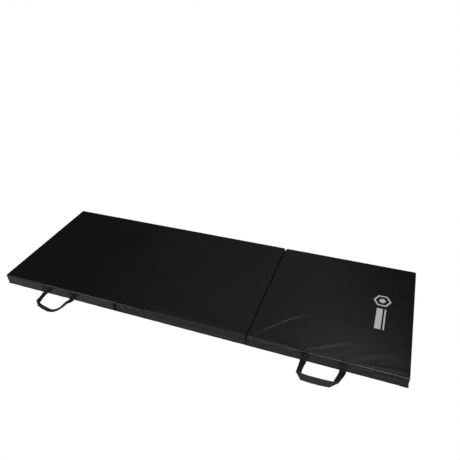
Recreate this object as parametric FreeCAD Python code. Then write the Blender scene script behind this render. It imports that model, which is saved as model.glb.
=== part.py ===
import FreeCAD, Part
import math
import os
from FreeCAD import Vector

# Folding gym mat: three foam panels in one sewn vinyl cover, laid out flat.
# +X runs along the mat, -Y is the side with the carry handles, +Z is up.
# Origin: middle of the middle panel's underside.  All sizes in millimetres.

# ---------------------------------------------------------------- mat
PITCH = 600.0          # one panel, fold line to fold line
MAT_W = 600.0          # across the mat
HALF_W = MAT_W / 2
MAT_T = 50.0           # thickness
FOLD_GAP = 2.0         # between neighbouring fold walls
SHEET_T = 0.8          # vinyl cover sheet
R_TOP = 4.0            # rolled top edges
R_BOTTOM = 3.0         # rolled bottom edges
R_FOLD = 8.0           # rolled edge on the open side of a fold
R_PLAN_END = 6.0       # upright corners at the mat's ends
R_PLAN_FOLD = 4.0      # upright corners beside a fold
R_YZ = [R_BOTTOM, R_BOTTOM, R_TOP, R_TOP]

SEAM_Z = 1.5           # height of the seam between skirt and underside
SEAM_HALF = 0.05       # half of a seam's gap between two separate sheets
WEB_W = 20.0           # each half of a hinge web, from the panel's fold face
WEB_END = 8.0          # hinge web stops this far from the mat's long sides
WEB_HALF_GAP = 0.1     # hinge web stops this far short of the fold line
WALL_DEPTH = 9.0       # how far into the panel a fold wall's sheet reaches
WALL_HALF_L = HALF_W - R_PLAN_END   # fold walls run between the rolled long edges
GUSSET_END = 8.5       # back gusset stops this far from the panel's ends

FOAM_INSET = SHEET_T + 0.4   # cover's outside to foam core
FOAM_ZIP_RELIEF = 4.0        # foam core stops this far short of the back face
FOAM_R_MIN = 1.0             # least radius on the foam's edges along Y
FOAM_R_LESS = 1.0            # foam's edges along X are this much tighter than the cover's

# how far cutting blocks run past the sheets
OVER_Z = 1.0
OVER_XY = 5.0
OVER_WINDOW = 9.0

# ---------------------------------------------------------------- zip fasteners
ZIP_Z = MAT_T / 2
ZIP_WINDOW_L, ZIP_WINDOW_H = 544.0, 12.0
TAPE_L, TAPE_W, TAPE_T = 550.0, 15.4, 0.6
COIL_L, COIL_W, COIL_T = 536.0, 2.6, 1.4
COIL_RADII = [0.2, 0.6, 0.6, 0.2]
SPLIT = 0.6            # half of the slot between the two coil rows
STOP_L, STOP_H = 2.5, 6.8
STOP_GAP = 0.3         # coil end to stop
STOP_PROUD = 0.2       # stop stands out beyond the coils
TAPE_INSET = 0.9       # cover sheet's inside to the tape's inner face

SLIDER_L, SLIDER_W = 12.0, 9.0
SLIDER_REST = 260.0    # closed, from the zip's middle
SLIDER_PLATE = 1.2     # outer plate
SLIDER_NOSE = 4.0      # length of the tapered end
SLIDER_TAPER = 1.2     # drop in half width over the nose
SLIDER_RADII = [1.0, 1.5, 1.5, 1.5, 1.5, 1.0]
INNER_PLATE_T, INNER_PLATE_GAP = 1.0, 0.5
FUSE = 0.2             # overlap of flanges and post into the plates
FLANGE_INSET = (4.5, 2.0)     # from the slider's low and high X ends
FLANGE_GAP = 0.3       # clear of coil and tape
POST_INSET = (5.0, 1.0)       # both ends measured back from the high X end
POST_T = 0.8
LUG_R, LUG_T, LUG_Z = 1.6, 1.0, 2.1   # LUG_Z: zip's middle to a lug's inner face
LUG_SINK = 0.5         # lug starts this far into the outer plate
PIN_R = 0.6
PIN_RISE = 1.5         # pin's middle above the outer plate

EYE_R, EYE_L = 1.35, 3.6
EYE_CLEAR = 0.08
NECK_L = 5.0
PULL_L, PULL_W, PULL_T = 24.0, 5.6, 1.4
TAB_START = 4.0        # pin to the tab's near end
TAB_RADII = [2.2, 1.2, 1.2, 2.2]
PULL_SLOT = (2.2, 9.5)        # slot's ends, from the pull's far end
PULL_SLOT_W, PULL_SLOT_R = 2.6, 1.2

# the zip's layers, from the inside of the mat out
TAPE_Y = HALF_W - SHEET_T - TAPE_INSET
COIL_Y = TAPE_Y + TAPE_T + SEAM_HALF
SLIDER_Y = COIL_Y + COIL_T + 0.25      # inner face of the slider's outer plate
PIN_Y = SLIDER_Y + SLIDER_PLATE + PIN_RISE

# ---------------------------------------------------------------- carry handles
STRAP_W, STRAP_T = 25.0, 1.4
HANDLE_SPAN = 172.0    # over both legs
HANDLE_REACH = 92.0    # out from the mat's side
HANDLE_X = {"left": -606.0, "right": 602.0}   # middle of each handle along the mat
ROOT_Y, ROOT_Z = 2.8, 1.0   # hinge line: out from the side, and above the floor
STRAP_OVERLAP = 0.1    # crossbar sinks this far into the legs
ANCHOR_T = 1.2
ANCHOR_LOW, ANCHOR_HIGH = 2.4, 38.0
THREAD_R = 0.25
THREAD_GAP = 0.02      # thread to anchor
STITCH_SIDE = 3.5      # stitching to the anchor's upright edges
STITCH_LOW = 13.0      # height of the lowest stitch row
STITCH_TOP = 4.0       # highest row below the anchor's top

# ---------------------------------------------------------------- printed mark
MARK_X, MARK_T = 776.0, 0.15
HEX_Y = 64.0
HEX_RING_R, HEX_HOLE_R, HEX_CORE_R = 36.0, 28.0, 14.0
BARS_Y = (-100.0, 16.0)
BARS_X = [(-18.0, 6.0), (13.0, 19.0)]   # each bar's two sides, from MARK_X

# ---------------------------------------------------------------- panels
LOW, HIGH = -1, 1      # a panel's -X and +X sides
# xz_radii and plan_radii run low-low, high-low, high-high, low-high.
# hinges: for each side that meets a fold, the face its hinge web lies on.
PANELS = {
    "left": dict(
        x_range=(-1.5 * PITCH, -0.5 * PITCH - FOLD_GAP / 2),
        xz_radii=[R_BOTTOM, R_FOLD, 0.0, R_TOP],
        plan_radii=[R_PLAN_END, R_PLAN_FOLD, R_PLAN_FOLD, R_PLAN_END],
        hinges={HIGH: "top"}),
    "middle": dict(
        x_range=(-0.5 * PITCH + FOLD_GAP / 2, 0.5 * PITCH - FOLD_GAP / 2),
        xz_radii=[R_FOLD, 0.0, R_FOLD, 0.0],
        plan_radii=[R_PLAN_FOLD] * 4,
        hinges={LOW: "top", HIGH: "bottom"}),
    "right": dict(
        x_range=(0.5 * PITCH + FOLD_GAP / 2, 1.5 * PITCH),
        xz_radii=[0.0, R_BOTTOM, R_TOP, R_FOLD],
        plan_radii=[R_PLAN_FOLD, R_PLAN_END, R_PLAN_END, R_PLAN_FOLD],
        hinges={LOW: "bottom"}),
}


# ---------------------------------------------------------------- helpers
# A range is a (low, high) pair along one axis.
def around(middle, length):
    return (middle - length / 2, middle + length / 2)


def inset(limits, by):
    return (limits[0] + by, limits[1] - by)


def span(origin, direction, start, end):
    """The range from start to end, measured from origin towards direction (+1 or -1)."""
    return tuple(sorted((origin + direction * start, origin + direction * end)))


def smaller(radii, by):
    return [max(radius - by, 0.0) for radius in radii]


def block(xs, ys, zs):
    return Part.makeBox(xs[1] - xs[0], ys[1] - ys[0], zs[1] - zs[0], Vector(xs[0], ys[0], zs[0]))


def rectangle(us, vs):
    return [(us[0], vs[0]), (us[1], vs[0]), (us[1], vs[1]), (us[0], vs[1])]


def lift(axis, point, along):
    """Stand a 2-D point in the plane across axis, at distance along it."""
    if axis == "x":
        return Vector(along, point.x, point.y)
    if axis == "y":
        return Vector(point.x, along, point.y)
    return Vector(point.x, point.y, along)


def rounded_prism(axis, limits, points, radii):
    """A convex polygon with a radius at each corner, extruded along axis over a range."""
    count = len(points)
    corners = []       # (arc start, arc middle or None, arc end)
    for i in range(count):
        corner = Vector(*points[i], 0)
        if radii[i] <= 0:
            corners.append((corner, None, corner))
            continue
        back = (Vector(*points[i - 1], 0) - corner).normalize()
        ahead = (Vector(*points[(i + 1) % count], 0) - corner).normalize()
        half_angle = math.acos(max(-1, min(1, back.dot(ahead)))) / 2
        reach = radii[i] / math.tan(half_angle)
        centre = corner + (back + ahead).normalize() * (radii[i] / math.sin(half_angle))
        middle = centre + (corner - centre).normalize() * radii[i]
        corners.append((corner + back * reach, middle, corner + ahead * reach))

    edges = []
    for i, (start, middle, end) in enumerate(corners):
        if middle is not None:
            arc_points = [lift(axis, point, limits[0]) for point in (start, middle, end)]
            edges.append(Part.Arc(*arc_points).toShape())
        following = corners[(i + 1) % count][0]
        if (following - end).Length > 1e-6:
            edges.append(Part.makeLine(lift(axis, end, limits[0]),
                                       lift(axis, following, limits[0])))
    face = Part.Face(Part.Wire(edges))
    return face.extrude(lift(axis, Vector(0, 0, 0), limits[1] - limits[0]))


def rounded_block(xs, ys, zs, xz_radii, yz_radii, xy_radii):
    """A block whose edges along Y, along X and upright have their own radii.
    Each list runs low-low, high-low, high-high, low-high in its own plane."""
    along_y = rounded_prism("y", inset(ys, -1), rectangle(xs, zs), xz_radii)
    along_x = rounded_prism("x", inset(xs, -1), rectangle(ys, zs), yz_radii)
    upright = rounded_prism("z", inset(zs, -1), rectangle(xs, ys), xy_radii)
    return along_y.common(along_x).common(upright)


def flat_plate(points, z, thickness):
    """A sharp-cornered XY polygon, thickened upward from z."""
    outline = [Vector(x, y, z) for x, y in points]
    face = Part.Face(Part.makePolygon(outline + outline[:1]))
    return face.extrude(Vector(0, 0, thickness))


def save(name, *shapes):
    solids = [solid for shape in shapes for solid in shape.Solids]
    for solid in solids:
        assert solid.isValid() and solid.Volume > 0, name
    result = solids[0] if len(solids) == 1 else Part.makeCompound(solids)
    result.exportStep("parts/%s.step" % name)


# ---------------------------------------------------------------- cover and foam
def cover_shell(panel):
    xs = panel["x_range"]
    ys = (-HALF_W, HALF_W)
    zs = (0, MAT_T)
    xz_radii, plan_radii = panel["xz_radii"], panel["plan_radii"]
    outer = rounded_block(xs, ys, zs, xz_radii, R_YZ, plan_radii)
    inner = rounded_block(inset(xs, SHEET_T), inset(ys, SHEET_T), inset(zs, SHEET_T),
                          smaller(xz_radii, SHEET_T), smaller(R_YZ, SHEET_T),
                          smaller(plan_radii, SHEET_T))
    return outer.cut(inner)


def make_hinge_web(name, fold_x, side, level, shell):
    """Save the sheet that carries on to a fold line; return the shell with room cut for it."""
    reach = FOLD_GAP / 2 - WEB_HALF_GAP
    ys = inset((-HALF_W, HALF_W), WEB_END)
    if level == "top":
        zs = (MAT_T - SHEET_T, MAT_T)
        room_zs = (zs[0] - SEAM_HALF, zs[1] + OVER_Z)
    else:
        zs = (0.0, SHEET_T)
        room_zs = (zs[0] - OVER_Z, zs[1] + SEAM_HALF)
    save("hinge_web_%s_%s" % (level, name), block(span(fold_x, side, -WEB_W, reach), ys, zs))
    room_xs = span(fold_x, side, -WEB_W - SEAM_HALF, reach + OVER_XY)
    return shell.cut(block(room_xs, inset(ys, -SEAM_HALF), room_zs))


def make_fold_wall(name, fold_x, side, level, cover):
    """Save the upright wall facing a fold; return the cover without it."""
    top = MAT_T - (SHEET_T + SEAM_HALF if level == "top" else R_FOLD)
    xs = span(fold_x, side, -WALL_DEPTH, OVER_XY)
    ys = (-WALL_HALF_L, WALL_HALF_L)
    wall = cover.common(block(xs, inset(ys, SEAM_HALF), (0, top - SEAM_HALF)))
    suffix = {LOW: "_l", HIGH: "_r"}[side] if name == "middle" else ""
    save("fold_wall_" + name + suffix, wall)
    return cover.cut(block(xs, ys, (0, top)))


def make_back_gusset(name, panel_xs, cover):
    """Save the back face with its zip window; return the cover without it."""
    xs = inset(panel_xs, GUSSET_END)
    ys = around(HALF_W, 2 * OVER_XY)
    top = MAT_T - R_TOP
    gusset = cover.common(block(inset(xs, SEAM_HALF), ys, (0, top - SEAM_HALF)))
    cover = cover.cut(block(xs, ys, (0, top)))
    window = block(around(sum(panel_xs) / 2, ZIP_WINDOW_L), around(HALF_W, 2 * OVER_WINDOW),
                   around(ZIP_Z, ZIP_WINDOW_H))
    save("back_gusset_" + name, gusset.cut(window))
    return cover


def make_foam_core(name, panel):
    foam = rounded_block(
        inset(panel["x_range"], FOAM_INSET),
        (-HALF_W + FOAM_INSET, HALF_W - FOAM_ZIP_RELIEF),
        inset((0, MAT_T), FOAM_INSET),
        [max(radius - FOAM_INSET, FOAM_R_MIN) for radius in panel["xz_radii"]],
        smaller(R_YZ, FOAM_R_LESS),
        smaller(panel["plan_radii"], FOAM_INSET))
    save("foam_core_" + name, foam)


def make_panel(name, panel):
    xs = panel["x_range"]
    folds = [(xs[0] if side == LOW else xs[1], side, level)
             for side, level in panel["hinges"].items()]
    shell = cover_shell(panel)
    for fold in folds:
        shell = make_hinge_web(name, *fold, shell)

    # the seam near the floor parts the underside from the rest
    wide_xs = inset(xs, -OVER_XY)
    wide_ys = inset((-HALF_W, HALF_W), -OVER_XY)
    bottom = shell.common(block(wide_xs, wide_ys, (-OVER_Z, SEAM_Z - SEAM_HALF)))
    cover = shell.common(block(wide_xs, wide_ys, (SEAM_Z + SEAM_HALF, MAT_T + OVER_Z)))
    save("bottom_sheet_" + name, bottom)

    for fold in folds:
        cover = make_fold_wall(name, *fold, cover)
    cover = make_back_gusset(name, xs, cover)
    save("top_cover_" + name, cover)
    make_foam_core(name, panel)


# ---------------------------------------------------------------- zips, facing +Y
def make_zip_rows(name, middle_x):
    """Two tapes, two coil rows and the stops at both ends."""
    tapes, coils, stops = [], [], []
    for side in (1, -1):
        tapes.append(block(around(middle_x, TAPE_L), (TAPE_Y, TAPE_Y + TAPE_T),
                           span(ZIP_Z, side, SPLIT, SPLIT + TAPE_W)))
        section = rectangle((COIL_Y, COIL_Y + COIL_T), span(ZIP_Z, side, SPLIT, SPLIT + COIL_W))
        coils.append(rounded_prism("x", around(middle_x, COIL_L), section, COIL_RADII))
        stop_start = COIL_L / 2 + STOP_GAP
        stops.append(block(span(middle_x, side, stop_start, stop_start + STOP_L),
                           (COIL_Y, COIL_Y + COIL_T + STOP_PROUD), around(ZIP_Z, STOP_H)))
    save("zip_tapes_" + name, *tapes)
    save("zip_coils_" + name, *coils)
    save("zip_stops_" + name, *stops)


def pin_cylinder(radius, length, x):
    """A cylinder on the pull pin's upright axis, centred on the zip."""
    return Part.makeCylinder(radius, length, Vector(x, PIN_Y, ZIP_Z - length / 2), Vector(0, 0, 1))


def make_slider(name, slider_x):
    x_low, x_high = around(slider_x, SLIDER_L)
    z_low, z_high = around(ZIP_Z, SLIDER_W)
    outline = [(x_low, z_low + SLIDER_TAPER), (x_low + SLIDER_NOSE, z_low), (x_high, z_low),
               (x_high, z_high), (x_low + SLIDER_NOSE, z_high), (x_low, z_high - SLIDER_TAPER)]
    inner_y = TAPE_Y - INNER_PLATE_GAP
    slider = rounded_prism("y", (SLIDER_Y, SLIDER_Y + SLIDER_PLATE), outline, SLIDER_RADII)
    slider = slider.fuse(rounded_prism("y", (inner_y - INNER_PLATE_T, inner_y),
                                       outline, SLIDER_RADII))
    # side flanges, then the post between the coil rows
    for side in (1, -1):
        slider = slider.fuse(block(
            (x_low + FLANGE_INSET[0], x_high - FLANGE_INSET[1]),
            (TAPE_Y + TAPE_T + FLANGE_GAP, SLIDER_Y + FUSE),
            span(ZIP_Z, side, SPLIT + COIL_W + FLANGE_GAP, SLIDER_W / 2)))
    slider = slider.fuse(block((x_high - POST_INSET[0], x_high - POST_INSET[1]),
                               (inner_y - FUSE, SLIDER_Y + FUSE), around(ZIP_Z, POST_T)))
    # two lugs and the pin that carries the pull
    for side in (1, -1):
        zs = span(ZIP_Z, side, LUG_Z, LUG_Z + LUG_T)
        lug = block(around(slider_x, 2 * LUG_R), (SLIDER_Y + LUG_SINK, PIN_Y), zs)
        lug = lug.fuse(Part.makeCylinder(LUG_R, LUG_T, Vector(slider_x, PIN_Y, zs[0]),
                                         Vector(0, 0, 1)))
        slider = slider.fuse(lug)
    slider = slider.fuse(pin_cylinder(PIN_R, 2 * LUG_Z + LUG_T, slider_x))
    save("zip_slider_" + name, slider.removeSplitter())


def make_pull(name, pin_x):
    """Pull tab, lying along the zip towards its middle."""
    far_x = pin_x - PULL_L
    ys = around(PIN_Y, PULL_T)
    eye = pin_cylinder(EYE_R, EYE_L, pin_x)
    neck = block((pin_x - NECK_L, pin_x), ys, around(ZIP_Z, EYE_L))
    tab = rounded_prism("y", ys, rectangle((far_x, pin_x - TAB_START), around(ZIP_Z, PULL_W)),
                        TAB_RADII)
    slot_outline = rectangle((far_x + PULL_SLOT[0], far_x + PULL_SLOT[1]),
                             around(ZIP_Z, PULL_SLOT_W))
    slot = rounded_prism("y", around(PIN_Y, 6), slot_outline, [PULL_SLOT_R] * 4)
    pull = eye.fuse(neck).fuse(tab).cut(slot)
    pull = pull.cut(pin_cylinder(PIN_R + EYE_CLEAR, 10, pin_x))
    save("zip_pull_" + name, pull.removeSplitter())


# ---------------------------------------------------------------- handles
def make_strap(name, middle_x):
    """A flat webbing loop lying on the floor."""
    root = -HALF_W - ROOT_Y
    out = -HALF_W - HANDLE_REACH
    half = HANDLE_SPAN / 2
    z_low = ROOT_Z - STRAP_T / 2
    # legs, each cut off at 45 degrees where the webbing folds over into the crossbar
    legs = []
    for side in (1, -1):
        outer_x = middle_x + side * half
        inner_x = middle_x + side * (half - STRAP_W)
        leg = flat_plate([(outer_x, root), (outer_x, out + STRAP_W), (inner_x, out),
                          (inner_x, root)], z_low, STRAP_T)
        rounded_end = Part.makeCylinder(STRAP_T / 2, STRAP_W,
                                        Vector(min(outer_x, inner_x), root, ROOT_Z),
                                        Vector(1, 0, 0))
        legs.append(leg.fuse(rounded_end))
    crossbar = flat_plate([(middle_x + half, out + STRAP_W), (middle_x + half - STRAP_W, out),
                           (middle_x - half + STRAP_W, out), (middle_x - half, out + STRAP_W)],
                          z_low + STRAP_T - STRAP_OVERLAP, STRAP_T)
    loop = legs[0].fuse(legs[1]).fuse(crossbar)
    save("handle_strap_" + name, loop.removeSplitter())


def box_stitch(xs, y, zs):
    """A rectangle of thread with both diagonals, rounded off at its corners."""
    corners = [Vector(x, y, z) for x, z in rectangle(xs, zs)]
    thread = None
    for i, j in [(0, 1), (1, 2), (2, 3), (3, 0), (0, 2), (1, 3)]:
        run = corners[j] - corners[i]
        stitch = Part.makeCylinder(THREAD_R, run.Length, corners[i], run)
        thread = stitch if thread is None else thread.fuse(stitch)
    for corner in corners:
        thread = thread.fuse(Part.makeSphere(THREAD_R, corner))
    return thread


def make_anchors(name, middle_x):
    """The webbing's ends, upright on the mat's side, and their stitching."""
    anchors, stitches = [], []
    back_y = -HALF_W - SEAM_HALF
    front_y = back_y - ANCHOR_T
    for side in (1, -1):
        xs = span(middle_x, side, HANDLE_SPAN / 2 - STRAP_W, HANDLE_SPAN / 2)
        anchors.append(block(xs, (front_y, back_y), (ANCHOR_LOW, ANCHOR_HIGH)))
        stitches.append(box_stitch(inset(xs, STITCH_SIDE), front_y - THREAD_R - THREAD_GAP,
                                   (STITCH_LOW, ANCHOR_HIGH - STITCH_TOP)))
    save("handle_anchors_" + name, *anchors)
    save("anchor_stitches_" + name, *stitches)


# ---------------------------------------------------------------- mark
def hexagon(radius):
    angles = [math.radians(60 * k) for k in range(6)]
    points = [(MARK_X + radius * math.cos(angle), HEX_Y + radius * math.sin(angle))
              for angle in angles]
    return flat_plate(points, MAT_T, MARK_T)


def make_mark():
    """On the right panel: a hexagon outline round a solid hexagon, and two bars."""
    ring = hexagon(HEX_RING_R).cut(hexagon(HEX_HOLE_R))
    bars = [block((MARK_X + low, MARK_X + high), BARS_Y, (MAT_T, MAT_T + MARK_T))
            for low, high in BARS_X]
    save("printed_mark", ring, hexagon(HEX_CORE_R), *bars)


os.makedirs("parts", exist_ok=True)
for name, panel in PANELS.items():
    zip_x = sum(panel["x_range"]) / 2
    make_panel(name, panel)
    make_zip_rows(name, zip_x)
    make_slider(name, zip_x + SLIDER_REST)
    make_pull(name, zip_x + SLIDER_REST)
for name, handle_x in HANDLE_X.items():
    make_strap(name, handle_x)
    make_anchors(name, handle_x)
make_mark()
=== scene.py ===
"""Exercise mat of three foam panels in black vinyl, opened out flat.

The panels lie side by side along X with the underside at z = 0. The front side (-Y) carries
two webbing handles lying on the floor, the back side (+Y) a zip in each panel. One sheet
runs across the left fold at the top, another across the right fold at the underside.
"""
from math import cos, hypot, pi, radians, sin, tan

import bmesh
import bpy
import numpy as np
from mathutils import Matrix, Vector


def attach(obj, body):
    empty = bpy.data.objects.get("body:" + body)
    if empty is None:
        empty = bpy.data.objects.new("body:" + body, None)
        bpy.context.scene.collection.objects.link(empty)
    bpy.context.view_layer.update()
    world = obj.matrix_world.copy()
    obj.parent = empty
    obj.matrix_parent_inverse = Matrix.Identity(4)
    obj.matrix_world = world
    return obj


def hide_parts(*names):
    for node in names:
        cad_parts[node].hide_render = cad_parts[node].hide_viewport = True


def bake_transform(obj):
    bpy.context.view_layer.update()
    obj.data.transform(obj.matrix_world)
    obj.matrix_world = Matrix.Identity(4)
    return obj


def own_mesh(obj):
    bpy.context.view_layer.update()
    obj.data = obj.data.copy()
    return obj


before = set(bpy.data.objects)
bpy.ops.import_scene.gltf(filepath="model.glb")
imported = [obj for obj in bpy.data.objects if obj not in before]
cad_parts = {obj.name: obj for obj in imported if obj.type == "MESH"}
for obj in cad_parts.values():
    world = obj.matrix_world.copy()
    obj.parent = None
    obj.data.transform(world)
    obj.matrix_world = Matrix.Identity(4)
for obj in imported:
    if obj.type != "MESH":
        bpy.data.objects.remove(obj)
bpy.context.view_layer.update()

MM = 0.001                    # lengths below are in millimetres
TOP = 50.0                    # height of the mat's top
FRONT, BACK = -300.0, 300.0   # y of the two long sides
HALF_LENGTH = 900.0
FOLD_X = 300.0                # the folds lie at x = -FOLD_X and x = FOLD_X
FOLD_GAP = 1.0                # from a fold line to the panel beside it
PANEL = {                     # x of each panel's low and high end
    "left": (-HALF_LENGTH, -FOLD_X - FOLD_GAP),
    "middle": (-FOLD_X + FOLD_GAP, FOLD_X - FOLD_GAP),
    "right": (FOLD_X + FOLD_GAP, HALF_LENGTH),
}
SKIN = 0.8                    # vinyl sheet
ZIP_HALF = 272.0              # half the length of a zip opening
ZIP_Z = (19.0, 31.0)          # its lower and upper edge
STRAP, STRAP_THICK = 25.0, 1.4            # webbing width and thickness
HANDLE_X = {"left": -606.0, "right": 602.0}
HANDLE_HALF = 86.0            # half a handle's width over both legs
TINY = 1e-6


# ------------------------------------------------------------------ numbers
def ease(t):
    """Smooth step from 0 to 1 while t goes from 0 to 1."""
    t = np.clip(t, 0.0, 1.0)
    return t * t * (3 - 2 * t)


def bell(distance, width):
    return np.exp(-(distance / width) ** 2)


def decay(distance, reach):
    """1 up to distance 0, dying away beyond it."""
    return np.exp(-np.maximum(distance, 0) / reach)


def stations(*runs):
    """Grid lines from (start, end, spacing) runs laid end to end."""
    out = [runs[0][0]]
    for start, end, spacing in runs:
        count = max(1, int(round(abs(end - start) / spacing)))
        out += list(np.linspace(start, end, count + 1)[1:])
    return np.array(out)


def edge_lines(radius):
    """Distances from an edge at which a rolled edge needs grid lines."""
    angles = (38, 31, 23, 15, 7.5)
    return [0.0] + [radius * (1 - tan(radians(a))) for a in angles] + [radius]


def across(lo, hi, radius_lo, radius_hi, middle):
    """Grid lines from one edge of a panel to the other, fine round the rolled edges."""
    first = [lo + d for d in edge_lines(radius_lo)]
    last = [hi - d for d in edge_lines(radius_hi)][::-1]
    between = [v for v in middle if first[-1] + 0.8 < v < last[0] - 0.8]
    return np.array(first + between + last)


def waves(seed, shortest, longest):
    """Smooth noise within about -1..1, from nine sine waves of random heading and length."""
    random = np.random.RandomState(seed)
    heading = random.uniform(0, 2 * pi, 9)
    rate = 2 * pi / random.uniform(shortest, longest, 9)
    phase = random.uniform(0, 2 * pi, 9)
    height = random.uniform(0.5, 1.0, 9)
    height /= height.sum() * 0.6
    parts = list(zip(rate * np.cos(heading), rate * np.sin(heading), phase, height))

    def noise_at(x, y):
        return sum(high * np.sin(rate_x * x + rate_y * y + shift)
                   for rate_x, rate_y, shift, high in parts)
    return noise_at


def along_line(x, y, line):
    """Run along a polyline, signed distance to its right-hand side, and its length."""
    line = np.array(line, float)
    nearest = np.full(x.shape, 1e9)
    run, offset = np.zeros(x.shape), np.zeros(x.shape)
    done = 0.0
    for start, end in zip(line[:-1], line[1:]):
        heading = end - start
        length = float(np.hypot(*heading))
        heading = heading / length
        rel_x, rel_y = x - start[0], y - start[1]
        part = np.clip(rel_x * heading[0] + rel_y * heading[1], 0, length)
        distance = np.hypot(rel_x - part * heading[0], rel_y - part * heading[1])
        right = rel_x * heading[1] - rel_y * heading[0] >= 0
        near = distance < nearest
        nearest = np.where(near, distance, nearest)
        run = np.where(near, done + part, run)
        offset = np.where(near, np.where(right, distance, -distance), offset)
        done += length
    return run, offset, done


# ------------------------------------------------------------------ meshes
def grid_quads(rows, columns):
    """Quads of a grid whose points are stored row by row."""
    return [(i * columns + j, (i + 1) * columns + j, (i + 1) * columns + j + 1, i * columns + j + 1)
            for i in range(rows - 1) for j in range(columns - 1)]


def tube(rings, sides, base=0):
    """Faces of a closed tube: quads from ring to ring, and a cap at each end."""
    faces = []
    for ring in range(base, base + (rings - 1) * sides, sides):
        for s in range(sides):
            t = (s + 1) % sides
            faces.append((ring + s, ring + t, ring + sides + t, ring + sides + s))
    last = base + (rings - 1) * sides
    return faces + [tuple(range(base, base + sides))[::-1], tuple(range(last, last + sides))]


def vertex_normals(points, faces):
    normals = np.zeros_like(points)
    a, b, c, d = (points[faces[:, i]] for i in range(4))
    face_normals = np.cross(c - a, d - b)
    for i in range(4):
        np.add.at(normals, faces[:, i], face_normals)
    length = np.linalg.norm(normals, axis=1, keepdims=True)
    return normals / np.maximum(length, 1e-12)


def thicken(points, faces, depth):
    """A closed sheet: the surface, a copy set in by depth, and a rim round every open edge."""
    points, faces = np.asarray(points, float), np.asarray(faces)
    inner = points - vertex_normals(points, faces) * depth
    n = len(points)
    edges = {(int(a), int(b)) for k in range(4) for a, b in faces[:, [k, (k + 1) % 4]]}
    rim = sorted((b, a, a + n, b + n) for a, b in edges if (b, a) not in edges)
    return np.concatenate([points, inner]), [*faces, *(faces[:, ::-1] + n), *rim]


def add_object(name, points, faces, material, slot, uv=None, sharp=None):
    """Smooth-shaded object. sharp is the angle in degrees above which an edge stays sharp."""
    mesh = bpy.data.meshes.new(name)
    places = (np.asarray(points, float) * MM).tolist()
    mesh.from_pydata(places, [], [tuple(map(int, face)) for face in faces])
    mesh.update()
    mesh.polygons.foreach_set("use_smooth", [True] * len(mesh.polygons))
    if uv is not None:
        layer = mesh.uv_layers.new(name="UVMap")
        index = np.zeros(len(mesh.loops), int)
        mesh.loops.foreach_get("vertex_index", index)
        layer.data.foreach_set("uv", (np.asarray(uv, float)[index] * MM).ravel())
    if sharp is not None:
        mesh.set_sharp_from_angle(angle=radians(sharp))
    made = bpy.data.objects.new(name, mesh)
    bpy.context.scene.collection.objects.link(made)
    mesh.materials.append(material)
    return made


def paint(made, attribute, value_at):
    """Per-point attribute, worked out from each point's x, y and z."""
    places = np.zeros(len(made.data.vertices) * 3)
    made.data.vertices.foreach_get("co", places)
    layer = made.data.attributes.new(attribute, "FLOAT", "POINT")
    layer.data.foreach_set("value", value_at(*(places.reshape(-1, 3).T / MM)))


# ------------------------------------------------------------------ shader helpers
def plug(socket, value):
    """Links the socket if the value is another node's output, and sets it otherwise."""
    if isinstance(value, bpy.types.NodeSocket):
        socket.id_data.links.new(value, socket)
    else:
        socket.default_value = value


def feed(made, **values):
    """Node settings, or inputs by name with _ for a space."""
    for key, value in values.items():
        if hasattr(made, key):
            setattr(made, key, value)
        else:
            plug(made.inputs[key.replace("_", " ")], value)


def node(tree, kind, *inputs, **values):
    """New node; inputs are given in socket order or by name."""
    made = tree.nodes.new("ShaderNode" + kind)
    feed(made, **values)
    for socket, value in zip(made.inputs, inputs):
        plug(socket, value)
    return made


def new_material(name):
    material = bpy.data.materials.new(name)
    material.use_nodes = True
    tree = material.node_tree
    tree.nodes.clear()
    output = node(tree, "OutputMaterial")
    bsdf = node(tree, "BsdfPrincipled")
    plug(output.inputs[0], bsdf.outputs[0])
    return material, tree, bsdf


def maths(tree, operation, *inputs):
    return node(tree, "Math", *inputs, operation=operation).outputs[0]


def noise(coords, **values):
    return node(coords.id_data, "TexNoise", Vector=coords, **values).outputs["Fac"]


def attribute(tree, name):
    return node(tree, "Attribute", attribute_name=name).outputs["Fac"]


def ramp(source, low, high, start=0.3, end=0.7):
    """Colour ramp from low at start to high at end; a plain number is a grey."""
    made = node(source.id_data, "ValToRGB", source)
    for element, position, colour in zip(made.color_ramp.elements, (start, end), (low, high)):
        element.position = position
        element.color = (*colour, 1) if isinstance(colour, tuple) else (colour,) * 3 + (1,)
    return made.outputs[0]


def bump(height, **values):
    return node(height.id_data, "Bump", Height=height, **values).outputs[0]


# ------------------------------------------------------------------ materials
def vinyl(name, dark, light, rough, grain=0.12):
    """Leathercloth: pebble grain, faint waviness, scuffs, and dull where the sheet is slack."""
    material, tree, bsdf = new_material(name)
    coords = node(tree, "TexCoord").outputs["Object"]
    clouds = noise(coords, Scale=6.0, Detail=4.0, Roughness=0.55)
    colour = ramp(clouds, low=(dark, dark, dark * 1.05), high=(light, light, light * 1.03), end=0.75)
    scuffs = noise(coords, Scale=22.0, Detail=6.0, Roughness=0.65)
    gloss = ramp(scuffs, low=rough - 0.05, high=rough + 0.06)
    slack_roughness = 0.36        # added where the sheet is fully slack
    duller = maths(tree, "MULTIPLY_ADD", attribute(tree, "slack"), slack_roughness, gloss)
    pebble = node(tree, "TexVoronoi", Vector=coords, Scale=620.0).outputs["Distance"]
    soft = noise(coords, Scale=38.0, Detail=3.0, Roughness=0.5)
    pebbled = bump(pebble, Strength=grain, Distance=0.0003)
    relief = bump(soft, Strength=0.035, Distance=0.004, Normal=pebbled)
    feed(bsdf, Base_Color=colour, Roughness=duller, Normal=relief)
    return material


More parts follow.
